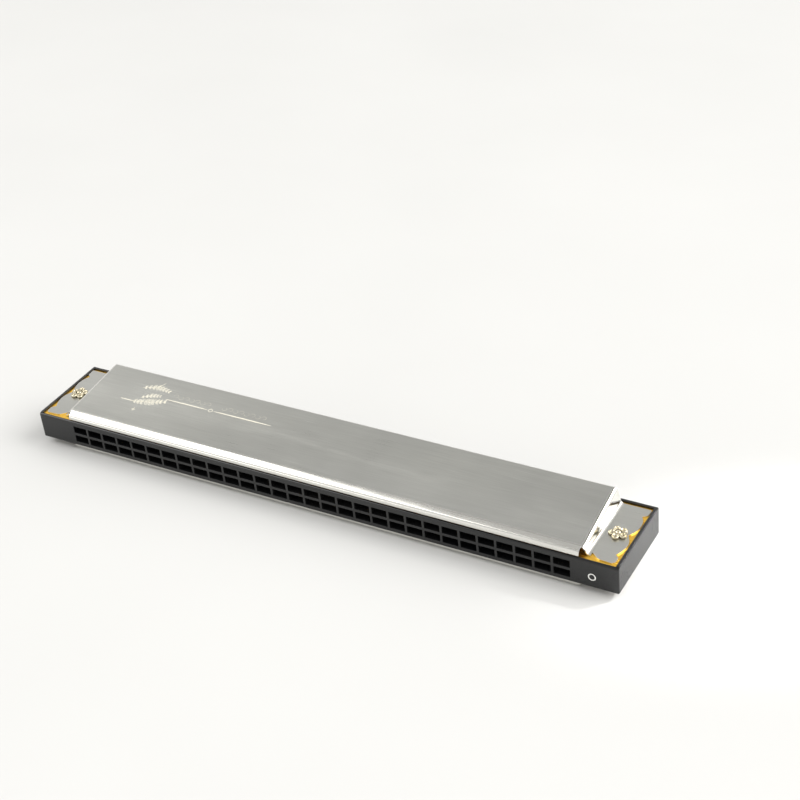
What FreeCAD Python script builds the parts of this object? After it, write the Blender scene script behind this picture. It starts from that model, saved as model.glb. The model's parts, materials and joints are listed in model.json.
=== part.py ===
import FreeCAD, Part
import math
import os

V = FreeCAD.Vector

# Thirty-column tremolo harmonica. Millimetres.
# Frame: origin at the centre of the comb, X along the row of holes (low notes at -X),
# Y from the mouth side (-Y) to the sound opening (+Y), Z up through the upper cover.
# The pieces above the comb are built, then mirrored in its middle plane for those below.

# ---------------------------------------------------------------- comb dimensions
LENGTH = 222.2            # end to end
WIDTH = 32.2              # mouth face to back face
HEIGHT = 10.3             # rim to rim
CORNER_R = 0.42           # outer edges, except the mouth edges
MOUTH_R = 0.8             # rounding of the upper mouth edge
MOUTH_R_LOW = 0.45        # rounding of the lower mouth edge
RIM = 1.15                # rim around each reed plate at the ends and the back
LIP_W = 0.9               # lip in front of each reed plate
LIP_DROP = 0.4            # top of the upper lip below the rim

COLUMNS = 30
PITCH = 6.4               # column to column
COLUMN_SHIFT = -0.55      # the rows of holes sit this far off the middle of the comb
HOLE_W = 5.6              # width of a mouth hole and of the cell behind it
ROW_H = 2.78              # height of a mouth hole
ROW_RIB = 0.95            # rib between the two rows of holes
ROW_SHIFT = 0.29          # rows sit this much below the middle of the mouth face
WALL_FRONT = 3.0          # thickness of the mouth wall
CELL_EXTRA = 0.6          # cell length behind the slot or root, whichever ends further back

MARK_X = 102.25           # ring mark near the high end of the mouth face
MARK_Z = -1.1
MARK_R = 1.35
MARK_STROKE = 0.45
MARK_DEPTH = 0.2

# ---------------------------------------------------------------- reed plate and reeds
PLATE_T = 0.9
PLATE_DROP = 0.5          # plate face below the rim top
PLATE_GAP = 0.08          # play between a plate and the rim around it
PLATE_CORNER_R = 0.5

REED_LONG = 16.5          # free length of the lowest reed
REED_SHORT = 8.0          # free length of the highest reed
REED_W = 2.2
REED_T = 0.28
REED_OFFSET = 0.10        # rest gap between a reed and its plate
SIDE_GAP = 0.15           # gap between a reed and each side of its slot
TIP_GAP = 0.20            # gap between a reed's tip and the end of its slot
HINGE_GAP = 0.15          # slot length past the hinge line
ROOT_GAP = 0.12           # split between the riveted root and the swinging tongue
ROOT_L = 3.4              # riveted root
ROOT_W = 3.0
ROOT_T = 0.45
ROOT_CORNER_R = 0.4
RIVET_R = 0.6
RIVET_HEAD_R = 1.05
RIVET_HEAD_H = 0.35
RIVET_HEAD_EDGE_R = 0.2
FRONT_LINE = -12.4        # forward end of the slots and of the front roots

# The ten highest columns share their root lines in sets, as one stamped strip would.
REED_SETS = [[20, 22, 24], [26, 28], [21, 23, 25], [27, 29]]
SET_OF = {index: group for group in REED_SETS for index in group}

# ---------------------------------------------------------------- cover dimensions
COVER_T = 0.4             # sheet thickness
COVER_FRONT_Z = 7.75      # height of the top plane at COVER_FRONT_Y
COVER_FRONT_Y = -12.3
COVER_BACK_Z = 10.98      # height of the top plane at COVER_BACK_Y
COVER_BACK_Y = 13.75
BEND_R = 1.45             # tight part of the bend above the front apron
BEND_TURN = 58.0          # degrees turned by the tight part
EASE_R = 6.0              # wide part that eases into the top plane
APRON_Y = -15.5           # outer face of the apron, over the lip of the comb
APRON_Z = 5.2             # lower edge of the apron
APRON_X = 97.8            # half length of the apron
FOLD_X = 99.65            # where the line of the end ramp meets the end tab
RAMP_RUN = 0.27           # ramp run per unit rise
RAMP_BEND_R = 1.35        # bend at the top of a ramp
FOLD_R = 1.5              # hollow bend at the foot of a ramp
FOLD_END = 100.85         # outer end of the strip that carries that bend
RAMP_FRONT_Y = -13.6
RAMP_BACK_Y = COVER_BACK_Y
HEM_R = 0.5               # turned-down back edge
HEM_DROP = 1.3            # lower end of the hem below COVER_BACK_Z

# Outline (x, y) of the right-hand end tab, in four runs that share their end points:
# straight sides, two smooth lobes, straight sides back to the first point.
TAB_FRONT = [
    (100.7, -11.8), (103.3, -14.0), (104.0, -14.2), (108.2, -14.45), (109.0, -13.7),
    (109.1, -11.6), (107.7, -10.3),
]
TAB_FRONT_LOBE = [
    (107.7, -10.3), (108.35, -9.4), (108.9, -7.9), (109.35, -5.6), (109.15, -3.4),
    (108.5, -1.8), (107.7, -0.2),
]
TAB_BACK_LOBE = [
    (107.7, -0.2), (108.4, 0.7), (109.1, 2.3), (109.5, 4.4), (109.45, 6.4),
    (109.0, 8.1), (108.1, 9.6),
]
TAB_BACK = [
    (108.1, 9.6), (109.5, 10.8), (109.7, 13.0), (109.5, 13.8), (108.9, 14.35),
    (104.4, 14.65), (103.2, 13.8), (101.3, 13.85), (100.7, 13.75), (100.7, -11.8),
]

# ---------------------------------------------------------------- nail dimensions
NAIL_X = 104.6            # cover nails
NAIL_Y = -0.9
NAIL_SHANK_R = 0.6
NAIL_DEPTH = 4.0          # straight shank below the top of the tab
NAIL_TIP = 0.3            # length of the cone at the end
PETALS = 5
PETAL_R = 1.45
PETAL_H = 1.05
PETAL_RING_R = 1.85       # circle the petals are centred on
HEART_R = 1.35
HEART_H = 1.3

TACK_SHANK_R = 0.3        # small nails that hold the reed plates
TACK_HEAD_R = 0.85
TACK_HEAD_H = 0.3
TACK_DEPTH = 1.55
TACK_FRONT_Y = -13.55
TACK_BACK_Y = 13.55
TACK_FRONT_COLUMNS = (5, 15, 25)    # each tack stands half a pitch before this column
TACK_BACK_X = (-80.0, -27.0, 27.0, 80.0)

# ---------------------------------------------------------------- derived
HX, HY, HZ = LENGTH / 2, WIDTH / 2, HEIGHT / 2
FACE_OUT = HZ - PLATE_DROP          # outer face of the upper plate
FACE_IN = FACE_OUT - PLATE_T        # its inner face, on the comb
LIP_BACK = -HY + LIP_W
TAB_TOP = FACE_OUT + COVER_T        # top of the end tabs
SLOPE = (COVER_BACK_Z - COVER_FRONT_Z) / (COVER_BACK_Y - COVER_FRONT_Y)
RAMP_STRETCH = math.hypot(1, RAMP_RUN)  # ramp length per unit rise

# ---------------------------------------------------------------- construction
OVER = 1.0                # how far a cutter runs past the face it opens
TOUCH = 1e-6              # tolerance for finding edges by place
LONG_EDGE = 50            # an edge longer than this in X runs the length of the comb
FORM_HX = HX + 5          # half length of the solids the cover is cut from
FORM_FRONT_Y = -30
FORM_LOW = 3.0            # underside of the tabs, apron and hem before trimming
FORM_HIGH = 14.0          # top of the ramp lines, above the top plane
HEM_OPEN_Y = 25           # the hollow runs out this far under the hem
BODY_BACK_Y = 40.0        # back and floor of the body, clear of the bends
BODY_LOW = -8.0
KEEP_TOP = 16.0           # top of the trimming boxes


def column_x(index):
    return (index - (COLUMNS - 1) / 2) * PITCH + COLUMN_SHIFT


TACKS = [(column_x(k - 0.5), TACK_FRONT_Y) for k in TACK_FRONT_COLUMNS]
TACKS += [(x, TACK_BACK_Y) for x in TACK_BACK_X]


# ---------------------------------------------------------------- helpers
def around(centre, half):
    return centre - half, centre + half


def box(*spans):
    """Box from its X, Y and Z spans; the ends of a span may come in either order."""
    sizes = [max(span) - min(span) for span in spans]
    return Part.makeBox(*sizes, V(*[min(span) for span in spans]))


def upright_cylinder(x, y, z_span, radius):
    low, high = sorted(z_span)
    return Part.makeCylinder(radius, high - low, V(x, y, low), V(0, 0, 1))


def cylinder_y(x, y, z, length, radius):
    return Part.makeCylinder(radius, length, V(x, y, z), V(0, 1, 0))


def lines(points):
    """Straight edges from each point to the next."""
    return [Part.makeLine(p, q) for p, q in zip(points, points[1:])]


def arc(start, middle, end):
    return Part.Arc(start, middle, end).toShape()


def face_of(edges):
    return Part.Face(Part.Wire(edges))


def sweep(face, start, length):
    """Extrude a face by the vector length, then move it by the vector start."""
    solid = face.extrude(length)
    solid.translate(start)
    return solid


def sweep_x(face):
    return sweep(face, V(-FORM_HX, 0, 0), V(2 * FORM_HX, 0, 0))


def upright_edges(shape, height):
    return [e for e in shape.Edges
            if abs(e.Vertexes[0].Z - e.Vertexes[-1].Z) > height / 2]


def flip(shape):
    """The same piece below the comb."""
    return shape.mirror(V(0, 0, 0), V(0, 0, 1))


def dome(x, y, z, radius, height):
    """Low spherical dome standing on height z."""
    ball_r = (radius * radius + height * height) / (2 * height)
    ball = Part.makeSphere(ball_r, V(x, y, z + height - ball_r))
    reach = radius + OVER
    return ball.common(box(around(x, reach), around(y, reach), (z, z + height + OVER)))


# ---------------------------------------------------------------- reeds
def free_length(index):
    return REED_LONG - (REED_LONG - REED_SHORT) * index / (COLUMNS - 1)


class Reed:
    """Layout of one upper reed.

    Even columns hold blow reeds, riveted at the back on the plate's inner face with the
    tip towards the mouth; odd columns hold draw reeds, riveted at the front on the outer
    face with the tip towards the back. Spans and lines are y values.
    """

    def __init__(self, index):
        self.x = column_x(index)
        hinge_to_root = REED_T / 2 + ROOT_GAP
        if index % 2 == 0:
            self.kind = "blow"
            self.face, self.outward = FACE_IN, -1.0
            leader = SET_OF[index][0] if index in SET_OF else index
            self.hinge = FRONT_LINE + TIP_GAP + free_length(leader)
            self.tip = self.hinge - free_length(index)
            self.slot = (self.tip - TIP_GAP, self.hinge + HINGE_GAP)
            root_front = self.hinge + hinge_to_root
        else:
            self.kind = "draw"
            self.face, self.outward = FACE_OUT, 1.0
            root_front = FRONT_LINE
            self.hinge = root_front + ROOT_L + hinge_to_root
            self.tip = self.hinge + free_length(index)
            self.slot = (self.hinge - HINGE_GAP, self.tip + TIP_GAP)
        self.root = (root_front, root_front + ROOT_L)
        self.rivet_y = sum(self.root) / 2
        self.cell_back = max(self.slot[1], self.root[1]) + CELL_EXTRA

    def level(self, height):
        """Z at a height above the plate face that carries the reed."""
        return self.face + self.outward * height


def make_root(reed):
    root = box(around(reed.x, ROOT_W / 2), reed.root, (reed.level(0), reed.level(ROOT_T)))
    root = root.makeFillet(ROOT_CORNER_R, upright_edges(root, ROOT_T))
    hole_z = (reed.level(-OVER), reed.level(ROOT_T + OVER))
    return root.cut(upright_cylinder(reed.x, reed.rivet_y, hole_z, RIVET_R))


def make_tongue(reed):
    """Flat tongue with a rounded edge at its hinge line."""
    z_span = (reed.level(REED_OFFSET), reed.level(REED_OFFSET + REED_T))
    tongue = box(around(reed.x, REED_W / 2), (reed.hinge, reed.tip), z_span)
    hinge_start = V(reed.x - REED_W / 2, reed.hinge, sum(z_span) / 2)
    hinge = Part.makeCylinder(REED_T / 2, REED_W, hinge_start, V(1, 0, 0))
    return tongue.fuse(hinge).removeSplitter()


def make_rivet(reed):
    """Rivet through root and plate, flush with the plate's far face."""
    head_base, head_top = reed.level(ROOT_T), reed.level(ROOT_T + RIVET_HEAD_H)
    shank_z = (head_base, reed.level(-PLATE_T))
    shank = upright_cylinder(reed.x, reed.rivet_y, shank_z, RIVET_R)
    head = upright_cylinder(reed.x, reed.rivet_y, (head_base, head_top), RIVET_HEAD_R)
    brim = [e for e in head.Edges
            if len(e.Vertexes) == 1 and abs(e.Vertexes[0].Z - head_top) < TOUCH]
    head = head.makeFillet(RIVET_HEAD_EDGE_R, brim)
    return shank.fuse(head).removeSplitter()


# ---------------------------------------------------------------- comb
def rounded_block():
    block = box((-HX, HX), (-HY, HY), (-HZ, HZ))
    for z, radius in ((HZ, MOUTH_R), (-HZ, MOUTH_R_LOW)):
        mouth = [e for e in block.Edges
                 if abs(e.BoundBox.YMax + HY) < TOUCH and e.BoundBox.XLength > LONG_EDGE
                 and abs(e.BoundBox.ZMin - z) < TOUCH]
        block = block.makeFillet(radius, mouth)

    def on_ends_or_back(edge):
        b = edge.BoundBox
        on_end = abs(abs(b.XMin) - HX) < TOUCH and b.XLength < TOUCH
        on_back = abs(b.YMin - HY) < TOUCH and b.XLength > LONG_EDGE
        return on_end or on_back
    return block.makeFillet(CORNER_R, [e for e in block.Edges if on_ends_or_back(e)])


def lip_cutter():
    """What is cut away to lower the upper lip and round its front edge again."""
    lip_z = HZ - LIP_DROP
    diagonal = MOUTH_R * math.sqrt(0.5)
    x = -HX - OVER
    round_y, round_z = -HY + MOUTH_R, lip_z - MOUTH_R
    foot, crown = V(x, -HY, round_z), V(x, round_y, lip_z)
    edges = lines([crown, V(x, LIP_BACK, lip_z), V(x, LIP_BACK, HZ + OVER),
                   V(x, -HY - OVER, HZ + OVER), V(x, -HY - OVER, round_z), foot])
    edges.append(arc(foot, V(x, round_y - diagonal, round_z + diagonal), crown))
    return face_of(edges).extrude(V(2 * (HX + OVER), 0, 0))


def cell_cutters(reeds):
    """Mouth holes and the open cells behind them, in both rows."""
    overlap = 0.01            # hole and cell overlap
    above_cell = 0.5          # cutter past the floor of the plate's recess
    upper_row = ROW_RIB / 2 - ROW_SHIFT
    lower_row = -ROW_RIB / 2 - ROW_SHIFT
    wall_back = -HY + WALL_FRONT
    cutters = []
    for reed in reeds:
        width = around(reed.x, HOLE_W / 2)
        for side, rib in ((1, upper_row), (-1, lower_row)):
            cutters.append(box(width, (-HY - OVER, wall_back), (rib, rib + side * ROW_H)))
            cutters.append(box(width, (wall_back - overlap, reed.cell_back),
                               (rib, side * (FACE_IN + above_cell))))
    return cutters


def shank_cutters():
    """Holes in the comb for the cover nails and the tacks."""
    places = [(side * NAIL_X, NAIL_Y, TAB_TOP - NAIL_DEPTH - NAIL_TIP, NAIL_SHANK_R)
              for side in (1, -1)]
    places += [(x, y, FACE_OUT - TACK_DEPTH, TACK_SHANK_R) for x, y in TACKS]
    return [upright_cylinder(x, y, (side * bottom, side * (FACE_IN + OVER)), radius)
            for x, y, bottom, radius in places for side in (1, -1)]


def make_comb(reeds):
    comb = rounded_block().cut(lip_cutter())
    comb = comb.cut([
        box(around(0, HX - RIM), (LIP_BACK, HY - RIM), (side * FACE_IN, side * (HZ + OVER)))
        for side in (1, -1)])
    comb = comb.cut(cell_cutters(reeds))
    comb = comb.cut(shank_cutters())
    ring = cylinder_y(MARK_X, -HY - OVER, MARK_Z, MARK_DEPTH + OVER, MARK_R)
    ring = ring.cut(cylinder_y(MARK_X, -HY - 2 * OVER, MARK_Z, MARK_DEPTH + 3 * OVER,
                               MARK_R - MARK_STROKE))
    return comb.cut(ring)


# ---------------------------------------------------------------- reed plate
def make_plate(reeds):
    plate = box(around(0, HX - RIM - PLATE_GAP),
                (LIP_BACK + PLATE_GAP, HY - RIM - PLATE_GAP), (FACE_IN, FACE_OUT))
    plate = plate.makeFillet(PLATE_CORNER_R, upright_edges(plate, PLATE_T))
    through = (FACE_IN - OVER, FACE_OUT + OVER)
    slots = [box(around(reed.x, REED_W / 2 + SIDE_GAP), reed.slot, through)
             for reed in reeds]
    holes = [(reed.x, reed.rivet_y, RIVET_R) for reed in reeds]
    holes += [(side * NAIL_X, NAIL_Y, NAIL_SHANK_R) for side in (1, -1)]
    holes += [(x, y, TACK_SHANK_R) for x, y in TACKS]
    return plate.cut(slots + [upright_cylinder(x, y, through, r) for x, y, r in holes])


# ---------------------------------------------------------------- cover
# An inset of 0 gives the outer surface of the sheet, an inset of COVER_T the inner one.
def top_z(y):
    """Height of the cover's top plane at y."""
    return COVER_FRONT_Z + SLOPE * (y - COVER_FRONT_Y)


def ramp_x(z, inset):
    """Place of the right-hand ramp line at height z."""
    return FOLD_X - inset * RAMP_STRETCH - RAMP_RUN * (z - TAB_TOP)


def front_bend(inset, low):
    """Edges in the YZ plane from the apron's lower end up to the top plane, and their
    end point there."""
    turn = math.radians(BEND_TURN)
    last = math.pi / 2 - math.atan(SLOPE)
    bend_y = APRON_Y + BEND_R
    ease_y = bend_y + (EASE_R - BEND_R) * math.cos(turn)
    ease_z = top_z(ease_y - EASE_R * math.cos(last)) - EASE_R * math.sin(last)
    bend_z = ease_z + (EASE_R - BEND_R) * math.sin(turn)

    def on_bend(angle):
        r = BEND_R - inset
        return V(0, bend_y - r * math.cos(angle), bend_z + r * math.sin(angle))

    def on_ease(angle):
        r = EASE_R - inset
        return V(0, ease_y - r * math.cos(angle), ease_z + r * math.sin(angle))

    front, joint, crown = on_bend(0), on_bend(turn), on_ease(last)
    edges = lines([V(0, front.y, low), front])
    edges.append(arc(front, on_bend(turn / 2), joint))
    edges.append(arc(joint, on_ease((turn + last) / 2), crown))
    return edges, crown


def hemmed_profile(inset, back_open):
    """YZ face under the top surface. With back_open it runs out through the back, under
    the turned-down hem."""
    edges, crown = front_bend(inset, FORM_LOW)
    radius = HEM_R - inset
    centre_y = COVER_BACK_Y - HEM_R
    centre_z = top_z(centre_y) - HEM_R * math.hypot(1, SLOPE)
    start = math.pi / 2 + math.atan(SLOPE)

    def on_hem(angle):
        return V(0, centre_y + radius * math.cos(angle), centre_z + radius * math.sin(angle))

    hem_top, hem_end = on_hem(start), on_hem(0)
    edges += lines([crown, hem_top])
    edges.append(arc(hem_top, on_hem(start / 2), hem_end))
    if back_open:
        hem_z = COVER_BACK_Z - HEM_DROP
        back = [V(0, hem_end.y, hem_z), V(0, HEM_OPEN_Y, hem_z), V(0, HEM_OPEN_Y, FORM_LOW)]
    else:
        back = [V(0, hem_end.y, FORM_LOW)]
    edges += lines([hem_end] + back + [V(0, APRON_Y + inset, FORM_LOW)])
    return face_of(edges)


def plain_profile(inset):
    """The same YZ profile carried straight on past the back, with no hem."""
    edges, crown = front_bend(inset, BODY_LOW)
    far_z = crown.z + SLOPE * (BODY_BACK_Y - crown.y)
    edges += lines([crown, V(0, BODY_BACK_Y, far_z), V(0, BODY_BACK_Y, BODY_LOW),
                    V(0, APRON_Y + inset, BODY_LOW)])
    return face_of(edges)


def foot_profile(inset):
    """XZ face under the tabs, foot bends and ramps, and the height where the bends end."""
    tab_z = TAB_TOP - inset
    radius = FOLD_R + inset
    centre_z = tab_z + radius
    centre_x = ramp_x(centre_z, inset) + radius * RAMP_STRETCH

    def on_fold(angle):
        return V(centre_x + radius * math.cos(angle), 0, centre_z + radius * math.sin(angle))

    def left(point):
        return V(-point.x, point.y, point.z)

    tab_angle = -math.pi / 2
    ramp_angle = math.atan2(-RAMP_RUN, -1)
    on_tab, on_ramp = on_fold(tab_angle), on_fold(ramp_angle)
    middle = on_fold((tab_angle + ramp_angle) / 2)
    top = V(ramp_x(FORM_HIGH, inset), 0, FORM_HIGH)
    far, low = V(HX + 2, 0, tab_z), V(HX + 2, 0, FORM_LOW)
    edges = lines([left(low), left(far), left(on_tab)])
    edges.append(arc(left(on_tab), left(middle), left(on_ramp)))
    edges += lines([left(on_ramp), left(top), top, on_ramp])
    edges.append(arc(on_ramp, middle, on_tab))
    edges += lines([on_tab, far, low, left(low)])
    return face_of(edges), on_ramp.z


def wedge_profile(inset):
    """XZ face between the two ramp lines, with no foot bends."""
    low_x, high_x = ramp_x(BODY_LOW, inset), ramp_x(FORM_HIGH, inset)
    points = [V(-low_x, 0, BODY_LOW), V(-high_x, 0, FORM_HIGH),
              V(high_x, 0, FORM_HIGH), V(low_x, 0, BODY_LOW)]
    return Part.Face(Part.makePolygon(points + [points[0]]))


def form(inset, back_open):
    """Solid under one surface of the cover sheet."""
    front = V(0, FORM_FRONT_Y, 0)
    body = sweep_x(plain_profile(inset)).common(
        sweep(wedge_profile(inset), front, V(0, 80, 0)))

    def on_ramp_bend(edge):
        """Edges of a ramp along the top plane and down the front."""
        if any(abs(abs(v.X) - ramp_x(v.Z, inset)) > 1e-4 for v in edge.Vertexes):
            return False
        at_back = edge.BoundBox.YMin > BODY_BACK_Y - 0.1
        at_floor = edge.BoundBox.ZMax < BODY_LOW + 0.1
        return not at_back and not at_floor
    body = body.makeFillet(RAMP_BEND_R - inset, [e for e in body.Edges if on_ramp_bend(e)])

    side = sweep_x(hemmed_profile(inset, back_open))
    foot_face, foot_top = foot_profile(inset)
    foot = sweep(foot_face, front, V(0, -2 * FORM_FRONT_Y, 0))
    foot = foot.common(box(around(0, FORM_HX), around(0, FORM_FRONT_Y), (0, foot_top)))
    return body.common(side).fuse(foot.common(side))


def tab_face():
    def points(run):
        return [V(x, y, 0) for x, y in run]

    def smooth(run):
        curve = Part.BSplineCurve()
        curve.interpolate(points(run))
        return curve.toShape()
    return face_of(lines(points(TAB_FRONT)) + [smooth(TAB_FRONT_LOBE), smooth(TAB_BACK_LOBE)]
                   + lines(points(TAB_BACK)))


def make_cover():
    sheet = form(0.0, False).cut(form(COVER_T, True))
    # keep the body of the cover and, beyond the folds, only the foot strips and tabs
    keep_z = (FACE_OUT, KEEP_TOP)
    core = box(around(0, FOLD_X - 0.1), (APRON_Y - OVER, COVER_BACK_Y + OVER), keep_z)
    tab = sweep(tab_face(), V(0, 0, FACE_OUT), V(0, 0, 12))
    left_tab = tab.mirror(V(0, 0, 0), V(1, 0, 0))
    feet = [box((side * (FOLD_X - 0.2), side * FOLD_END), (RAMP_FRONT_Y, RAMP_BACK_Y), keep_z)
            for side in (1, -1)]
    sheet = sheet.common(core.fuse([tab, left_tab] + feet))
    # open front corners: the apron stops short of the ramps
    gaps = [box((side * APRON_X, side * (FOLD_END + 0.2)), (APRON_Y - 2, RAMP_FRONT_Y),
                (0, KEEP_TOP)) for side in (1, -1)]
    # lower edge of the apron
    gaps.append(box(around(0, APRON_X + OVER), (APRON_Y - 2, APRON_Y + 2.5), (0, APRON_Z)))
    gaps += [upright_cylinder(side * NAIL_X, NAIL_Y, (0, 12), NAIL_SHANK_R)
             for side in (1, -1)]
    return sheet.cut(gaps).Solids[0]


# ---------------------------------------------------------------- fasteners
def make_cover_nail(x):
    """Flower-headed nail: a central dome ringed by petals."""
    head = dome(x, NAIL_Y, TAB_TOP, HEART_R, HEART_H)
    for k in range(PETALS):
        angle = math.pi / 2 + 2 * math.pi * k / PETALS
        head = head.fuse(dome(x + PETAL_RING_R * math.cos(angle),
                              NAIL_Y + PETAL_RING_R * math.sin(angle),
                              TAB_TOP, PETAL_R, PETAL_H))
    shank_end = TAB_TOP - NAIL_DEPTH
    shank = upright_cylinder(x, NAIL_Y, (shank_end, TAB_TOP + 0.2), NAIL_SHANK_R)
    tip = Part.makeCone(0.0, NAIL_SHANK_R, NAIL_TIP, V(x, NAIL_Y, shank_end - NAIL_TIP),
                        V(0, 0, 1))
    return head.fuse([shank, tip]).removeSplitter()


def make_tack(x, y):
    head = dome(x, y, FACE_OUT, TACK_HEAD_R, TACK_HEAD_H)
    shank = upright_cylinder(x, y, (FACE_OUT - TACK_DEPTH, FACE_OUT + 0.1), TACK_SHANK_R)
    return head.fuse(shank).removeSplitter()


# ---------------------------------------------------------------- write
def write(name, shape):
    if not shape.isValid():
        raise RuntimeError(name + " is not valid")
    shape.exportStep("parts/%s.step" % name)


def write_both(name, shape):
    """The upper piece and its mirrored lower twin, as two files."""
    write("upper_" + name, shape)
    write("lower_" + name, flip(shape))


def write_together(name, shapes):
    """The upper pieces and their mirrored lower twins, in one file."""
    write(name, Part.makeCompound(shapes + [flip(s) for s in shapes]))


def main():
    os.makedirs("parts", exist_ok=True)
    reeds = [Reed(index) for index in range(COLUMNS)]

    write("comb", make_comb(reeds))
    write_both("reed_plate", make_plate(reeds))
    write_both("cover", make_cover())
    write_together("cover_nails", [make_cover_nail(side * NAIL_X) for side in (1, -1)])
    write_together("reed_plate_nails", [make_tack(x, y) for x, y in TACKS])
    write_both("reed_roots", Part.makeCompound([make_root(reed) for reed in reeds]))
    write_together("reed_rivets", [make_rivet(reed) for reed in reeds])

    for index, reed in enumerate(reeds):
        if index not in SET_OF:
            write_both("reed_%02d_%s" % (index + 1, reed.kind), make_tongue(reed))
    for group in REED_SETS:
        numbers = "_".join("%02d" % (index + 1) for index in group)
        tongues = Part.makeCompound([make_tongue(reeds[index]) for index in group])
        write_both("reeds_%s_%s" % (numbers, reeds[group[0]].kind), tongues)


main()
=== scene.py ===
# A harmonica: a black comb between two brass reed plates, under two steel covers.
# It is long in X, the mouth face looks towards -Y and the upper cover towards +Z.
# The frame gives those parts. This script adds their materials, the nail heads, the
# ornament and the ring mark, then the floor, lights, world and camera.
import json
import math
import random

import bmesh
import bpy
from mathutils import Matrix, Vector


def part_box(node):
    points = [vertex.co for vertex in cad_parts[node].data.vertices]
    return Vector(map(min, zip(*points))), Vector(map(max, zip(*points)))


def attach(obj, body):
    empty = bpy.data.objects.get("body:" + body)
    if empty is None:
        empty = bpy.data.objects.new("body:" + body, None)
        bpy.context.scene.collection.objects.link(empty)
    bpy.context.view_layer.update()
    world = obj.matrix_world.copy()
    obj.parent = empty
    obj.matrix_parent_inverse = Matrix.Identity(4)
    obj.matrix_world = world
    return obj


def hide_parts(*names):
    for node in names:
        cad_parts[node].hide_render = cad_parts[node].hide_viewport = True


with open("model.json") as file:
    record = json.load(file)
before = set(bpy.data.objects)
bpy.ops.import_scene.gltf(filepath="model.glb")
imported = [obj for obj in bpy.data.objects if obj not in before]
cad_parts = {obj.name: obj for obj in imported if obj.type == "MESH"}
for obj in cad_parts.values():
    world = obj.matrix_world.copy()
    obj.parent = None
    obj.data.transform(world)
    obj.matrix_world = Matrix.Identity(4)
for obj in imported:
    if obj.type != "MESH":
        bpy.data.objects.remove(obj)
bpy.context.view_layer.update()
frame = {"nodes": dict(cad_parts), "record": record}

MM = 0.001
ROOT = "instrument"
NODES = frame["nodes"]
MOUNTS = {mount["name"]: mount for mount in frame["record"]["mounts"]}
random.seed(7)
scene = bpy.context.scene


def mount_plane(name):
    """Position (m) and unit normal of a mount in the frame."""
    mount = MOUNTS[name]
    return Vector(mount["pos_m"]), Vector(mount["axis"]).normalized()


comb_low, comb_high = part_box("comb")
plate_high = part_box("upper_reed_plate")[1]
nails_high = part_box("cover_nails")[1]
COVER_AT, COVER_NORMAL = mount_plane("upper_cover_face")
REST_AT, REST_NORMAL = mount_plane("lower_cover_face")


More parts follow.
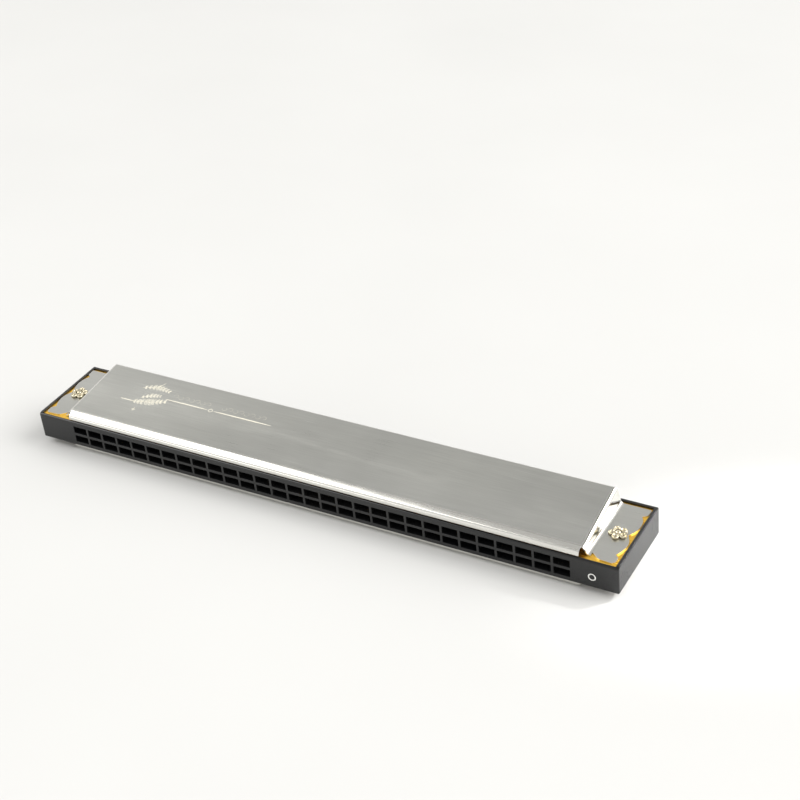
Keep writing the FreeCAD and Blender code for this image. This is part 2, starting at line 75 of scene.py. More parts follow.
# ------------------------------------------------------------------ node material helper
class NodeMaterial:
    """A node material, with short methods that add nodes and return their output sockets."""

    def __init__(self, name):
        self.material = bpy.data.materials.new(name)
        self.material.use_nodes = True
        self.tree = self.material.node_tree
        self.tree.nodes.clear()
        self.output = self.tree.nodes.new("ShaderNodeOutputMaterial")

    def node(self, kind, **props):
        node = self.tree.nodes.new(kind)
        for key, value in props.items():
            setattr(node, key, value)
        return node

    def put(self, socket, value):
        """Link a socket, or set a plain value. RGB colours get an alpha of 1."""
        if isinstance(value, bpy.types.NodeSocket):
            self.tree.links.new(value, socket)
        elif socket.type == "RGBA" and len(value) == 3:
            socket.default_value = (*value, 1.0)
        else:
            socket.default_value = value

    def mapping(self, stretch=(1, 1, 1), turn=0.0):
        """Object coordinates, turned about Z by radians and scaled per axis."""
        node = self.node("ShaderNodeMapping")
        self.put(node.inputs["Vector"], self.node("ShaderNodeTexCoord").outputs["Object"])
        node.inputs["Scale"].default_value = stretch
        node.inputs["Rotation"].default_value = (0, 0, turn)
        return node.outputs["Vector"]

    def noise(self, scale=1.0, detail=3.0, rough=0.6, distortion=0.0,
              stretch=(1, 1, 1), turn=0.0):
        vector = self.mapping(stretch, turn)
        node = self.node("ShaderNodeTexNoise")
        self.put(node.inputs["Vector"], vector)
        node.inputs["Scale"].default_value = scale
        node.inputs["Detail"].default_value = detail
        node.inputs["Roughness"].default_value = rough
        node.inputs["Distortion"].default_value = distortion
        return node.outputs["Fac"]

    def math(self, operation, first, second=0.0):
        node = self.node("ShaderNodeMath", operation=operation)
        for socket, value in zip(node.inputs, (first, second, 0.0)):
            self.put(socket, value)
        return node.outputs[0]

    def ramp(self, value, over=(0.3, 0.7), to=(0.0, 1.0)):
        """Map the range `over` to the range `to`, clamped."""
        node = self.node("ShaderNodeMapRange", clamp=True)
        self.put(node.inputs["Value"], value)
        node.inputs["From Min"].default_value = over[0]
        node.inputs["From Max"].default_value = over[1]
        node.inputs["To Min"].default_value = to[0]
        node.inputs["To Max"].default_value = to[1]
        return node.outputs["Result"]

    def mix(self, mask, low, high):
        """Colour that is `low` where the mask is 0 and `high` where it is 1."""
        node = self.node("ShaderNodeMix", data_type="RGBA")
        colours = [socket for socket in node.inputs if socket.type == "RGBA"]
        self.put(node.inputs[0], mask)
        self.put(colours[0], low)
        self.put(colours[1], high)
        return [socket for socket in node.outputs if socket.type == "RGBA"][0]

    def mix_value(self, mask, low, high):
        """The same for a plain number."""
        node = self.node("ShaderNodeMix", data_type="FLOAT")
        for index, value in ((0, mask), (2, low), (3, high)):
            self.put(node.inputs[index], value)
        return node.outputs[0]

    def layer(self, colour, over, mask, amount):
        """Lay the colour `over` on top, where the mask is 1, at this amount."""
        return self.mix(self.math("MULTIPLY", mask, amount), colour, over)

    def bump(self, height, strength, distance, normal=None):
        node = self.node("ShaderNodeBump")
        self.put(node.inputs["Height"], height)
        self.put(node.inputs["Strength"], strength)
        node.inputs["Distance"].default_value = distance
        if normal is not None:
            self.put(node.inputs["Normal"], normal)
        return node.outputs["Normal"]

    def bevel(self, radius):
        node = self.node("ShaderNodeBevel", samples=4)
        node.inputs["Radius"].default_value = radius
        return node.outputs["Normal"]

    def occlusion(self, distance):
        node = self.node("ShaderNodeAmbientOcclusion", samples=6)
        node.inputs["Distance"].default_value = distance
        return node.outputs["AO"]

    def normal_axes(self):
        """X, Y and Z of the surface normal."""
        geometry = self.node("ShaderNodeNewGeometry")
        axes = self.node("ShaderNodeSeparateXYZ")
        self.put(axes.inputs[0], geometry.outputs["Normal"])
        return axes.outputs

    def edges(self, radius):
        """1 near a sharp edge, 0 on open surface."""
        geometry = self.node("ShaderNodeNewGeometry")
        dot = self.node("ShaderNodeVectorMath", operation="DOT_PRODUCT")
        self.put(dot.inputs[0], self.bevel(radius))
        self.put(dot.inputs[1], geometry.outputs["Normal"])
        return self.ramp(dot.outputs["Value"], over=(0.90, 0.995), to=(1.0, 0.0))

    def principled(self, **values):
        node = self.node("ShaderNodeBsdfPrincipled")
        for key, value in values.items():
            self.put(node.inputs[key.replace("_", " ")], value)
        return node.outputs["BSDF"]

    def finish(self, shader):
        self.tree.links.new(shader, self.output.inputs["Surface"])
        return self.material


# ------------------------------------------------------------------ materials
def steel_cover():
    """Steel brushed along X: satin where it faces up or down, polished elsewhere."""
    mat = NodeMaterial("satin_steel")
    flat = mat.ramp(mat.math("ABSOLUTE", mat.normal_axes()["Z"]), over=(0.955, 0.988))
    fine = mat.noise(stretch=(70, 5200, 5200), detail=4.0)
    finer = mat.noise(stretch=(220, 16000, 16000), detail=2.0, rough=0.5)
    smudge = mat.noise(scale=38.0, rough=0.55, distortion=0.4)
    cloud = mat.noise(scale=11.0, stretch=(1, 2.5, 2.5), detail=2.0, rough=0.5)
    # hairline scratches in two slanting directions
    hair_a = mat.ramp(mat.noise(stretch=(30, 2600, 2600), turn=0.22, detail=2.0, rough=0.5),
                      over=(0.735, 0.76))
    hair_b = mat.ramp(mat.noise(stretch=(24, 1900, 1900), turn=-0.5, detail=2.0, rough=0.5),
                      over=(0.75, 0.775))
    hair = mat.math("MAXIMUM", hair_a, hair_b)
    edge = mat.edges(radius=0.00022)

    satin = mat.mix(mat.ramp(fine), low=(0.475, 0.475, 0.447), high=(0.548, 0.548, 0.515))
    satin = mat.mix(mat.ramp(cloud, over=(0.35, 0.7), to=(0.0, 0.35)),
                    low=satin, high=(0.50, 0.50, 0.487))
    polished = mat.mix(mat.ramp(finer, over=(0.35, 0.65)),
                       low=(0.70, 0.69, 0.65), high=(0.78, 0.77, 0.73))
    colour = mat.mix(flat, low=polished, high=satin)
    colour = mat.layer(colour, over=(0.78, 0.78, 0.75), mask=hair, amount=0.35)
    # edge wear and painted highlight: the sheet's edges are lightened
    colour = mat.layer(colour, over=(0.9, 0.89, 0.86), mask=edge, amount=0.6)

    satin_rough = mat.math("ADD", mat.ramp(fine, over=(0.25, 0.75), to=(0.27, 0.38)),
                           mat.ramp(smudge, to=(-0.03, 0.05)))
    polished_rough = mat.ramp(smudge, to=(0.10, 0.17))
    rough = mat.mix_value(flat, low=polished_rough, high=satin_rough)

    # brush lines, 0.7 coarse to 0.3 fine, with the hairlines cut 0.6 deep
    height = mat.math("ADD", mat.math("MULTIPLY", fine, 0.7), mat.math("MULTIPLY", finer, 0.3))
    height = mat.math("SUBTRACT", height, mat.math("MULTIPLY", hair, 0.6))
    strength = mat.ramp(flat, over=(0.0, 1.0), to=(0.12, 0.55))
    normal = mat.bump(height, strength=strength, distance=0.000006)
    return mat.finish(mat.principled(Base_Color=colour, Metallic=1.0, Roughness=rough,
                                     Normal=normal, Anisotropic=0.35))


def black_plastic():
    """Moulded black plastic with faint flow marks, dust, and edges lightened both by wear and as
    a painted highlight.
    """
    mat = NodeMaterial("moulded_black")
    grain = mat.noise(scale=9000.0)
    flow = mat.noise(stretch=(18, 60, 60), rough=0.5, distortion=0.6)
    cloud = mat.noise(scale=60.0, rough=0.5)
    speck = mat.node("ShaderNodeTexVoronoi")
    mat.put(speck.inputs["Vector"], mat.mapping())
    speck.inputs["Scale"].default_value = 900.0
    dust = mat.math("MULTIPLY", mat.ramp(speck.outputs["Distance"], over=(0.07, 0.03)),
                    mat.ramp(cloud, over=(0.5, 0.62)))
    edge_wear_and_sheen = mat.math("MULTIPLY", mat.edges(radius=0.00025),
                    mat.ramp(mat.noise(scale=700.0), over=(0.35, 0.6), to=(0.15, 1.0)))

    colour = mat.mix(mat.ramp(flow), low=(0.0040, 0.0043, 0.0050), high=(0.0085, 0.0085, 0.0084))
    colour = mat.layer(colour, over=(0.10, 0.095, 0.09), mask=dust, amount=0.35)
    # edge wear and painted highlight: near sharp edges the colour is lightened in patches
    colour = mat.layer(colour, over=(0.055, 0.055, 0.054), mask=edge_wear_and_sheen, amount=0.25)

    # the grain adds up to 0.05 of roughness
    rough = mat.math("ADD", mat.ramp(cloud, to=(0.19, 0.27)), mat.math("MULTIPLY", grain, 0.05))
    # the rounded mouth edge, where the normal lies between -Y and Z, is polished by use
    axes = mat.normal_axes()
    lean = mat.math("ABSOLUTE", mat.math("MULTIPLY", axes["Y"], axes["Z"]))
    worn_lip = mat.math("MULTIPLY", mat.ramp(lean, over=(0.10, 0.25)),
                        mat.ramp(axes["Y"], over=(-0.15, -0.3)))
    rough = mat.mix_value(worn_lip, low=rough, high=mat.ramp(cloud, to=(0.08, 0.13)))

    # flow marks stand 1.2 times as high as the grain
    soft = mat.bevel(radius=0.00018)
    height = mat.math("ADD", grain, mat.math("MULTIPLY", flow, 1.2))
    normal = mat.bump(height, strength=0.30, distance=0.000006, normal=soft)
    return mat.finish(mat.principled(Base_Color=colour, Roughness=rough, Normal=normal,
                                     IOR=1.50, Specular_IOR_Level=0.5))


def brass(name, low, high, rough, stretch, bump=0.4, edge=(0.98, 0.80, 0.42),
          tarnish=(0.45, 0.26, 0.07), painted_shade_colour=None):
    """Brass between two colours. The stretch sets the direction of its fine lines."""
    mat = NodeMaterial(name)
    lines = mat.noise(stretch=stretch, detail=4.0)
    cloud = mat.noise(scale=150.0, detail=4.0, distortion=0.3)
    spot = mat.ramp(mat.noise(scale=900.0), over=(0.62, 0.72))
    colour = mat.mix(mat.ramp(lines), low, high)
    colour = mat.mix(mat.ramp(cloud, over=(0.52, 0.75), to=(0.0, 0.35)), colour, tarnish)
    colour = mat.layer(colour, over=tarnish, mask=spot, amount=0.18)
    colour = mat.layer(colour, over=edge, mask=mat.edges(radius=0.00015), amount=0.5)
    if painted_shade_colour is not None:
        # painted shade: brass in the covers' shadow, found by ambient occlusion, is darkened to
        # a dull brown
        shade = mat.ramp(mat.occlusion(distance=0.004), over=(0.70, 0.35))
        colour = mat.mix(shade, colour, painted_shade_colour)
    roughness = mat.math("ADD", mat.ramp(lines, to=rough),
                         mat.ramp(cloud, over=(0.45, 0.75), to=(0.0, 0.10)))
    normal = mat.bump(lines, strength=bump, distance=0.000006)
    return mat.finish(mat.principled(Base_Color=colour, Metallic=1.0, Roughness=roughness,
                                     Normal=normal))


def nail_metal():
    """Pale metal, with painted shade darkening its recesses."""
    mat = NodeMaterial("washed_nail_metal")
    grain = mat.noise(scale=3500.0, detail=4.0)
    cloud = mat.noise(scale=800.0)
    shaded_recess = mat.ramp(mat.occlusion(distance=0.0014), over=(0.52, 0.96), to=(1.0, 0.0))
    colour = mat.mix(mat.ramp(cloud, over=(0.35, 0.65)),
                     low=(0.70, 0.62, 0.42), high=(0.84, 0.79, 0.64))
    # painted shade: recesses found by ambient occlusion are darkened nearly to black
    colour = mat.layer(colour, over=(0.07, 0.05, 0.02), mask=shaded_recess, amount=0.95)
    # recesses are up to 0.25 rougher
    rough = mat.math("ADD", mat.ramp(grain, to=(0.07, 0.15)),
                     mat.math("MULTIPLY", shaded_recess, 0.25))
    normal = mat.bump(grain, strength=0.25, distance=0.00001)
    return mat.finish(mat.principled(Base_Color=colour, Metallic=1.0, Roughness=rough,
                                     Normal=normal))


def worn_line(name, grain_scale, worn_scale, low, high, rough, bump, metallic):
    """The surface of the thin lines on the cover, unevenly worn."""
    mat = NodeMaterial(name)
    grain = mat.noise(scale=grain_scale)
    worn = mat.noise(scale=worn_scale)
    colour = mat.mix(mat.ramp(worn, over=(0.35, 0.65)), low, high)
    roughness = mat.ramp(grain, to=rough)
    normal = mat.bump(grain, strength=bump, distance=0.00001)
    return mat.finish(mat.principled(Base_Color=colour, Metallic=metallic,
                                     Roughness=roughness, Normal=normal))


def mark_paint():
    """Off-white paint."""
    mat = NodeMaterial("mark_paint")
    grain = mat.noise(scale=3000.0)
    colour = mat.mix(mat.ramp(grain), low=(0.74, 0.74, 0.71), high=(0.86, 0.86, 0.83))
    normal = mat.bump(grain, strength=0.4, distance=0.00002)
    rough = mat.ramp(grain, to=(0.35, 0.5))
    return mat.finish(mat.principled(Base_Color=colour, Roughness=rough, Normal=normal))


def floor_paint():
    """Pale matt floor, clear when seen from its back."""
    mat = NodeMaterial("pale_floor")
    cloud = mat.noise(scale=6.0, rough=0.5)
    colour = mat.mix(mat.ramp(cloud), low=(0.63, 0.63, 0.622), high=(0.65, 0.65, 0.642))
    lit = mat.principled(Base_Color=colour, Roughness=0.9, Specular_IOR_Level=0.1)
    clear = mat.node("ShaderNodeBsdfTransparent").outputs[0]
    geometry = mat.node("ShaderNodeNewGeometry")
    both = mat.node("ShaderNodeMixShader")
    for socket, value in zip(both.inputs, (geometry.outputs["Backfacing"], lit, clear)):
        mat.put(socket, value)
    return mat.finish(both.outputs[0])


MATERIALS = {
    "comb": black_plastic(),
    "cover": steel_cover(),
    "reed_plate": brass("rolled_brass", low=(0.93, 0.53, 0.06), high=(0.98, 0.60, 0.09),
                        rough=(0.22, 0.32), stretch=(60, 3600, 3600), bump=0.35,
                        # colour of the painted shade under the covers
                        painted_shade_colour=(0.16, 0.085, 0.022)),
    "reed": brass("reed_brass", low=(0.76, 0.52, 0.20), high=(0.86, 0.63, 0.30),
                  rough=(0.18, 0.30), stretch=(5200, 90, 5200), bump=0.5,
                  edge=(0.95, 0.82, 0.55), tarnish=(0.46, 0.30, 0.12)),
    "rivet": brass("rivet_brass", low=(0.72, 0.50, 0.20), high=(0.84, 0.62, 0.30),
                   rough=(0.22, 0.34), stretch=(1800, 1800, 1800)),
    "brass_nails": brass("tack_brass", low=(0.78, 0.52, 0.18), high=(0.88, 0.64, 0.28),
                         rough=(0.20, 0.32), stretch=(1600, 1600, 1600)),
    "cover_nails": nail_metal(),
}
for part in frame["record"]["subparts"]:
    slots = NODES[part["node"]].data.materials
    slots.clear()
    slots.append(MATERIALS[part["material_slot"]])


# ------------------------------------------------------------------ making objects
def mesh_object(name, bm, material):
    mesh = bpy.data.meshes.new(name)
    bm.normal_update()
    bm.to_mesh(mesh)
    bm.free()
    made = bpy.data.objects.new(name, mesh)
    scene.collection.objects.link(made)
    mesh.materials.append(material)
    return made


def add_piece(name, bm, material):
    """A mesh that belongs to the instrument."""
    made = mesh_object(name, bm, material)
    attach(made, ROOT)
    return made


# ------------------------------------------------------------------ rosette nails, in mm
PETALS = 5
HEAD_RINGS = 44
HEAD_SPOKES = 180
PETAL_REACH = 1.92      # nail axis to petal centre
PETAL_RADIUS = 1.27
PETAL_CREST = 0.92      # height of the rolled rim
CUP_SHARE = 0.74        # share of the petal radius inside the crest
CUP_FLOOR = 0.30
RIM_FOOT = 0.12
GROUND = 0.10           # height between the petals
RIB_HEIGHT = 0.05
HEART_RADIUS = 0.98
HEART_FOOT = 0.55
HEART_TOP = 1.28
GROOVE_WIDTH = 0.22     # round the heart
GROOVE_TOP = 0.30
HEAD_EDGE = 0.08        # height of the outline
SHANK_RADIUS = 0.6
SHANK_END = -3.9
SHANK_TIP = -4.2


def from_petal_axis(angle):
    """Signed angle from the middle of the nearest petal."""
    half = math.pi / PETALS
    return (angle + half) % (2 * half) - half


def head_outline(angle):
    angle = from_petal_axis(angle)
    across = PETAL_REACH * math.sin(angle)
    return PETAL_REACH * math.cos(angle) + math.sqrt(max(0.0, PETAL_RADIUS ** 2 - across ** 2))


def head_height(radius, angle):
    x, y = radius * math.cos(angle), radius * math.sin(angle)
    # distance to the nearest petal centre, in petal radii
    share = min(
        math.hypot(x - PETAL_REACH * math.cos(2 * math.pi * k / PETALS),
                   y - PETAL_REACH * math.sin(2 * math.pi * k / PETALS)) / PETAL_RADIUS
        for k in range(PETALS))
    height = GROUND
    if share < 1.0:
        if share < CUP_SHARE:
            cup = 0.5 - 0.5 * math.cos(math.pi * share / CUP_SHARE)
            height = CUP_FLOOR + (PETAL_CREST - CUP_FLOOR) * cup
        else:
            fall = (share - CUP_SHARE) / (1.0 - CUP_SHARE)
            height = RIM_FOOT + (PETAL_CREST - RIM_FOOT) * math.sqrt(max(0.0, 1.0 - fall ** 2))
        # ribs that run out along the petal and fade away from mid-radius
        fade = math.exp(-((share - 0.55) / 0.3) ** 2)
        height += RIB_HEIGHT * math.cos(from_petal_axis(angle) * 26.0) * fade
    if radius < HEART_RADIUS:
        dome = math.sqrt(max(0.0, 1.0 - (radius / HEART_RADIUS) ** 2))
        height = max(height, HEART_FOOT + (HEART_TOP - HEART_FOOT) * dome)
    elif radius < HEART_RADIUS + GROOVE_WIDTH:
        height = min(height, GROOVE_TOP)
    return height


def rosette(bm, centre, up, turn):
    """Cupped petals with rolled rims round a domed heart, closed underneath and carried on a
    short pointed shank. `up` is 1 or -1 along Z."""

    def vertex(radius, angle, z):
        x, y = radius * math.cos(angle + turn), radius * math.sin(angle + turn)
        return bm.verts.new(Vector((centre[0] + x, centre[1] + y, centre[2] + up * z)) * MM)

    def ring(section):
        """One vertex per spoke. section(angle) gives radius and height."""
        angles = (2 * math.pi * k / HEAD_SPOKES for k in range(HEAD_SPOKES))
        return [vertex(section(a)[0], a, section(a)[1]) for a in angles]

    def relief(share):
        def section(angle):
            radius = head_outline(angle) * share
            return radius, head_height(radius, angle)
        return section

    top = vertex(0, 0, head_height(0, 0))
    rings = [ring(relief(i / HEAD_RINGS)) for i in range(1, HEAD_RINGS)]
    rings.append(ring(lambda a: (head_outline(a), HEAD_EDGE)))
    # rim turned slightly under, then the flat underside and the shank
    rings.append(ring(lambda a: (head_outline(a) * 0.992, 0.0)))
    rings.append(ring(lambda a: (SHANK_RADIUS, 0.0)))
    rings.append(ring(lambda a: (SHANK_RADIUS, SHANK_END)))
    tip = vertex(0, 0, SHANK_TIP)

    faces = []
    for k in range(HEAD_SPOKES):
        after = (k + 1) % HEAD_SPOKES
        faces.append(bm.faces.new((top, rings[0][k], rings[0][after])))
        for inner, outer in zip(rings, rings[1:]):
            faces.append(bm.faces.new((inner[k], outer[k], outer[after], inner[after])))
        faces.append(bm.faces.new((rings[-1][k], tip, rings[-1][after])))
    for face in faces:
        face.smooth = True
    if up < 0:
        bmesh.ops.reverse_faces(bm, faces=faces)


HEAD_PAST_X = 3.21      # how far a nail head reaches past its shank in X
HEAD_PAST_Y = 3.30      # and in +Y
TAB_THICKNESS = 0.4     # end tabs, which lie on the reed plates
# side in X, side in Z, turn beyond a quarter (rad)
NAILS = ((1, 1, 0.55), (-1, 1, 0.2), (1, -1, 0.9), (-1, -1, 0.0))


def add_nails():
    nail_x = nails_high.x / MM - HEAD_PAST_X
    nail_y = nails_high.y / MM - HEAD_PAST_Y
    tab_z = plate_high.z / MM + TAB_THICKNESS
    for number, (side, up, turn) in enumerate(NAILS, 1):
        bm = bmesh.new()
        rosette(bm, (side * nail_x, nail_y, up * tab_z), up, math.pi / 2 + turn)
        nail = add_piece("rosette_nail_%d" % number, bm, MATERIALS["cover_nails"])
        if number == 1:
            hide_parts("cover_nails")


add_nails()


# ------------------------------------------------------------------ cover ornament, in mm
LINE = 0.25             # width of the sprig's lines
FINE_LINE = 0.20        # star, diamond and scrolls
RULE_Y = 2.75
RULE_WIDTH = 0.48
RULES = ((-68.0, -50.3), (-47.3, -23.9))    # start and end x
DIAMOND_REACH = 0.95
STAR_AT = (-76.3, -5.5)
# start x, y, end x, y, sag, leaf pairs, leaf length, lean of the leaves (rad)
BRANCHES = (
    (-79.6, -1.9, -67.0, 1.5, -0.5, 9, 2.5, 0.85),
    (-79.8, 5.4, -68.6, 6.4, 1.1, 8, 2.1, 0.80),
    (-77.4, 0.6, -70.6, 3.4, 0.5, 6, 1.7, 0.80),
)
SCROLL_COUNT = 17
SCROLL_START = -66.0
SCROLL_PITCH = 2.3
SCROLL_GAP = (-50.6, -46.6)     # no scroll starts between these x
SCROLL_Y = 5.15
SCROLL_RADIUS = 1.15


def cover_point(x, y, lift):
    """A point (m) on the upper cover's top plane, from mm, lifted along its normal."""
    x, y = x * MM, y * MM
    z = COVER_AT.z - (COVER_NORMAL.y * (y - COVER_AT.y)) / COVER_NORMAL.z
    return Vector((x, y, z)) + COVER_NORMAL * lift * MM


def ribbon(bm, points, width, lift=0.02, sink=0.04, taper=True):
    """A thin raised line on the cover's top plane. It ends at a quarter width if tapered."""
    last = len(points) - 1
    sections = []
    for i, (x, y) in enumerate(points):
        x0, y0 = points[max(i - 1, 0)]
        x1, y1 = points[min(i + 1, last)]
        length = math.hypot(x1 - x0, y1 - y0)
        side_x, side_y = -(y1 - y0) / length, (x1 - x0) / length
        share = 0.25 + 0.75 * math.sin(math.pi * i / last) ** 0.5 if taper else 1.0
        half = width / 2 * share
        left = (x + side_x * half, y + side_y * half)
        right = (x - side_x * half, y - side_y * half)
        corners = ((left, lift), (right, lift), (right, -sink), (left, -sink))
        sections.append([bm.verts.new(cover_point(*at, height)) for at, height in corners])
    for here, ahead in zip(sections, sections[1:]):
        for k in range(4):
            m = (k + 1) % 4
            bm.faces.new((here[k], here[m], ahead[m], ahead[k]))
    bm.faces.new(tuple(reversed(sections[0])))
    bm.faces.new(tuple(sections[-1]))


def straight(x0, y0, x1, y1, steps):
    return [(x0 + (x1 - x0) * i / steps, y0 + (y1 - y0) * i / steps) for i in range(steps + 1)]


def leaf(bm, x, y, angle, length, width):
    """Leaf outline with a midrib over three quarters of its length."""
    line = LINE * 0.8
    cos, sin = math.cos(angle), math.sin(angle)
    for side in (1, -1):
        outline = []
        for i in range(17):
            along = length * i / 16
            out = side * width / 2 * math.sin(math.pi * i / 16) ** 0.8
            outline.append((x + along * cos - out * sin, y + along * sin + out * cos))
        ribbon(bm, outline, line)
    rib = 0.75 * length
    ribbon(bm, straight(x, y, x + rib * cos, y + rib * sin, 3), line * 0.8)


def branch(bm, x0, y0, x1, y1, sag, pairs, size, lean):
    """A bowed stem with pairs of leaves."""
    stem = [(x, y + sag * math.sin(math.pi * i / 40))
            for i, (x, y) in enumerate(straight(x0, y0, x1, y1, 40))]
    ribbon(bm, stem, LINE * 1.1)
    for k in range(pairs):
        i = int(3 + 35 * k / (pairs - 1))
        x, y = stem[i]
        next_x, next_y = stem[i + 1]
        way = math.atan2(next_y - y, next_x - x)
        length = size * (1.0 - 0.45 * abs(2 * k / (pairs - 1) - 0.9))
        leaf(bm, x, y, way + lean, length, length * 0.36)
        leaf(bm, x, y, way - lean, length * 0.85, length * 0.32)


def add_ornament():
    """A sprig near the -X end of the cover, with ruled lines running from it."""
    bm = bmesh.new()
    # short line that leads to the lowest branch
    ribbon(bm, straight(-84.5, -1.75, -78.5, -1.75, 16), 0.42)
    for row in BRANCHES:
        branch(bm, *row)
    # curved stalk on the +Y side
    ribbon(bm, [(-74.6 + 1.9 * i / 12, 7.2 + 3.0 * (i / 12) ** 1.4) for i in range(13)], LINE)
    # small star on the -Y side, of four crossed strokes
    star_x, star_y = STAR_AT
    for k in range(4):
        reach = 1.0 if k % 2 == 0 else 0.62
        x, y = reach * math.cos(math.pi * k / 4), reach * math.sin(math.pi * k / 4)
        ribbon(bm, straight(star_x - x, star_y - y, star_x + x, star_y + y, 4), FINE_LINE)
    for start, end in RULES:
        ribbon(bm, straight(start, RULE_Y, end, RULE_Y, 24), RULE_WIDTH)
    # diamond in the gap between the ruled lines
    middle = (RULES[0][1] + RULES[1][0]) / 2
    rise = DIAMOND_REACH * 0.9
    diamond = ((middle - DIAMOND_REACH, RULE_Y), (middle, RULE_Y + rise),
               (middle + DIAMOND_REACH, RULE_Y), (middle, RULE_Y - rise))
    for k in range(4):
        ribbon(bm, straight(*diamond[k], *diamond[(k + 1) % 4], 6), FINE_LINE, taper=False)
    gilt = worn_line("gilt_line", grain_scale=5000.0, worn_scale=420.0,
                     low=(0.88, 0.84, 0.70), high=(0.76, 0.73, 0.63),
                     rough=(0.22, 0.40), bump=0.4, metallic=0.2)
    add_piece("cover_ornament", bm, gilt)


def add_scrolls():
    """A row of curls on the +Y side of the ruled lines, turned to +Y and -Y by turns."""
    bm = bmesh.new()
    for number in range(SCROLL_COUNT):
        x = SCROLL_START + SCROLL_PITCH * number
        if SCROLL_GAP[0] < x < SCROLL_GAP[1]:
            continue
        flip = 1.0 if number % 2 == 0 else -1.0
        curl = []
        for i in range(29):
            angle = math.pi * (1.0 - 1.55 * i / 28)
            radius = SCROLL_RADIUS * (1.0 - 0.55 * i / 28)
            curl.append((x + 1.1 + radius * math.cos(angle),
                         SCROLL_Y + flip * radius * math.sin(angle) * 0.95))
        ribbon(bm, curl, FINE_LINE, lift=0.012, sink=0.03)
    pressed = worn_line("pressed_line", grain_scale=6000.0, worn_scale=500.0,
                        low=(0.62, 0.61, 0.55), high=(0.76, 0.74, 0.66),
                        rough=(0.26, 0.42), bump=0.35, metallic=1.0)
    add_piece("cover_scrolls", bm, pressed)


add_ornament()
add_scrolls()


# ------------------------------------------------------------------ ring mark, in mm
RING_FROM_END = 8.85    # ring centre to the +X end of the comb
RING_DROP = 1.1         # ring centre below the comb's mid-height
RING_RADIUS = 1.35      # outside of the pressed groove
RING_WIDTH = 0.45
RING_DEPTH = 0.18
RING_CLEARANCE = 0.02   # paint to groove wall
RING_CHAMFER = (0.08, 0.03)     # across and deep
RING_STEPS = 64


def add_ring_mark():
    """White paint that fills the shallow ring pressed into the mouth face."""
    bm = bmesh.new()
    centre_x = comb_high.x / MM - RING_FROM_END
    centre_z = (comb_high.z + comb_low.z) / 2 / MM - RING_DROP
    face_y = comb_low.y / MM
    inner = RING_RADIUS - RING_WIDTH + RING_CLEARANCE
    outer = RING_RADIUS - RING_CLEARANCE
    across, deep = RING_CHAMFER
    # radius, y
    profile = (
        (inner, face_y + RING_DEPTH), (outer, face_y + RING_DEPTH),
        (outer, face_y + deep), (outer - across, face_y),
        (inner + across, face_y), (inner, face_y + deep),
    )
    rings = []
    for k in range(RING_STEPS):
        angle = 2 * math.pi * k / RING_STEPS
        rings.append([
            bm.verts.new(Vector((centre_x + radius * math.cos(angle), y,
                                 centre_z + radius * math.sin(angle))) * MM)
            for radius, y in profile])
    for k in range(RING_STEPS):
        here, ahead = rings[k], rings[(k + 1) % RING_STEPS]
        for i in range(len(profile)):
            j = (i + 1) % len(profile)
            bm.faces.new((here[i], here[j], ahead[j], ahead[i])).smooth = True
    bmesh.ops.recalc_face_normals(bm, faces=bm.faces)
    add_piece("ring_mark", bm, mark_paint())


add_ring_mark()


# ------------------------------------------------------------------ floor, in metres
FLOOR_RADIUS = 3.5
FLOOR_GAP = 0.00003     # keeps the floor just clear of the lower cover
FLOOR_STEPS = 64


def add_floor():
    """A pale disc under the face the instrument lies on."""
    up = -REST_NORMAL
    right = Vector((1, 0, 0))
    ahead = up.cross(right)
    centre = REST_AT - up * FLOOR_GAP
    bm = bmesh.new()
    rim = []
    for k in range(FLOOR_STEPS):
        angle = 2 * math.pi * k / FLOOR_STEPS
        rim.append(bm.verts.new(centre + right * (FLOOR_RADIUS * math.cos(angle))
                                + ahead * (FLOOR_RADIUS * math.sin(angle))))
    bm.faces.new(rim)
    mesh_object("floor", bm, floor_paint())


add_floor()


# ------------------------------------------------------------------ lights, in metres
WARM = (1.0, 0.99, 0.97)
BOX_DISTANCE = 3.0      # from the origin
# name, direction from the origin, (width, height), radiance
SOFTBOXES = (
    ("left_overhead_box", (-0.65, -0.15, 0.74), (2.3, 1.6), 2.8),
    ("front_overhead_box", (0.45, -0.50, 0.80), (1.8, 1.8), 1.3),
    ("right_overhead_box", (0.70, 0.28, 0.66), (2.0, 2.0), 5.0),
    ("right_back_box", (0.80, 0.62, 0.30), (2.0, 1.1), 1.6),
    ("front_left_box", (-0.60, -0.79, 0.12), (1.3, 0.45), 1.3),
    ("left_box", (-0.90, -0.45, 0.22), (1.6, 0.9), 0.9),
)
WASH_AT = Vector((0.44, 0.36, 0.34))
WASH_TARGET = Vector((0.152, 0.030, -0.008))


def place_light(light, location, back):
    """Add a light that shines against the direction `back`, hidden from the camera."""
    lamp = bpy.data.objects.new(light.name, light)
    scene.collection.objects.link(lamp)
    lamp.location = location
    lamp.rotation_mode = "QUATERNION"
    lamp.rotation_quaternion = back.to_track_quat("Z", "Y")
    lamp.visible_camera = False


def add_softboxes():
    for name, direction, (width, height), radiance in SOFTBOXES:
        light = bpy.data.lights.new(name, "AREA")
        light.shape = "RECTANGLE"
        light.size, light.size_y = width, height
        light.energy = radiance * math.pi * width * height
        light.color = WARM
        back = Vector(direction).normalized()
        place_light(light, back * BOX_DISTANCE, back)


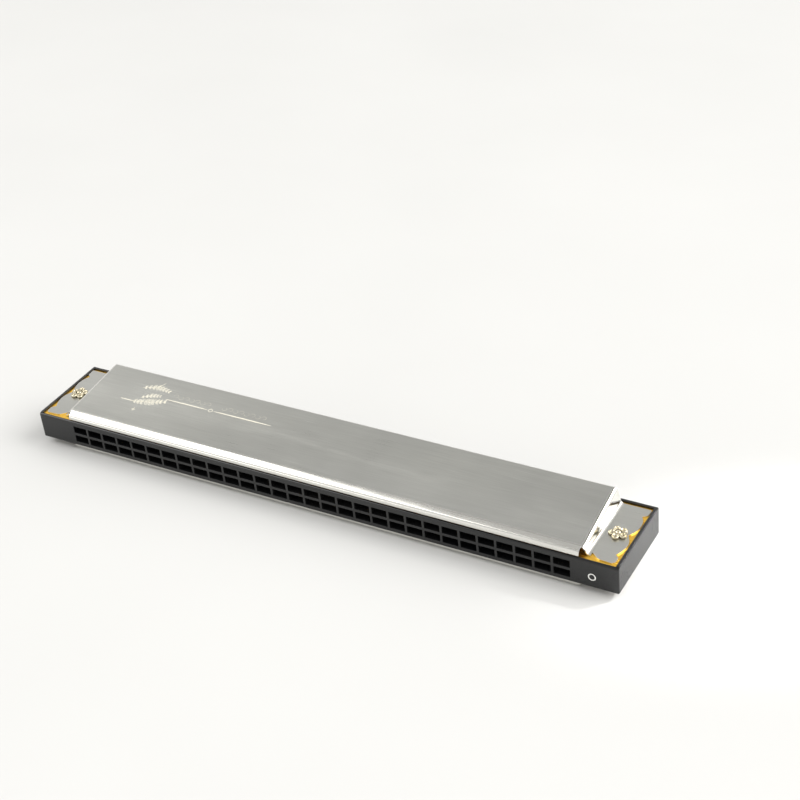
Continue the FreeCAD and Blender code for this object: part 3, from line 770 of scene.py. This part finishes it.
def add_floor_wash():
    """A narrow light on the floor off the +X end, which the end face mirrors."""
    light = bpy.data.lights.new("floor_wash", "SPOT")
    light.shadow_soft_size = 0.03
    light.spot_size = math.radians(9.5)
    light.spot_blend = 1.0
    light.energy = 31.0
    place_light(light, WASH_AT, WASH_AT - WASH_TARGET)


add_softboxes()
add_floor_wash()


# ------------------------------------------------------------------ world
# Z of the view direction, background strength
SKY = ((0.0, 1.0), (0.55, 0.95), (0.66, 0.76), (0.71, 0.61), (0.79, 0.48), (1.0, 0.60))


def build_world():
    """A near-white surround that dims overhead."""
    world = bpy.data.worlds.new("studio")
    scene.world = world
    world.use_nodes = True
    nodes, links = world.node_tree.nodes, world.node_tree.links
    nodes.clear()
    output = nodes.new("ShaderNodeOutputWorld")
    background = nodes.new("ShaderNodeBackground")
    coords = nodes.new("ShaderNodeTexCoord")
    axes = nodes.new("ShaderNodeSeparateXYZ")
    curve = nodes.new("ShaderNodeValToRGB")
    curve.color_ramp.interpolation = "LINEAR"
    stops = curve.color_ramp.elements
    stops[0].position, stops[1].position = SKY[0][0], SKY[-1][0]
    for position, _ in SKY[1:-1]:
        stops.new(position)
    for stop, (_, level) in zip(stops, SKY):
        stop.color = (level, level, level, 1.0)
    background.inputs["Color"].default_value = (1.0, 0.995, 0.975, 1.0)
    links.new(coords.outputs["Generated"], axes.inputs[0])
    links.new(axes.outputs["Z"], curve.inputs["Fac"])
    links.new(curve.outputs["Color"], background.inputs["Strength"])
    links.new(background.outputs[0], output.inputs["Surface"])


build_world()


# ------------------------------------------------------------------ camera and render
def add_camera():
    lens = bpy.data.cameras.new("camera")
    lens.lens = 75.641
    lens.sensor_width = 36.0
    lens.clip_start = 0.01
    lens.clip_end = 20.0
    camera = bpy.data.objects.new("camera", lens)
    scene.collection.objects.link(camera)
    right = (0.871914, 0.481522, -0.088821)
    up = (-0.206163, 0.525552, 0.825402)
    back = (0.444129, -0.701368, 0.557512)
    position = Vector((0.26619, -0.371975, 0.33132))
    turn = Matrix((right, up, back)).transposed().to_4x4()
    camera.matrix_world = Matrix.Translation(position) @ turn
    scene.camera = camera


add_camera()
scene.view_settings.view_transform = "Standard"
scene.view_settings.look = "None"
scene.cycles.use_denoising = True
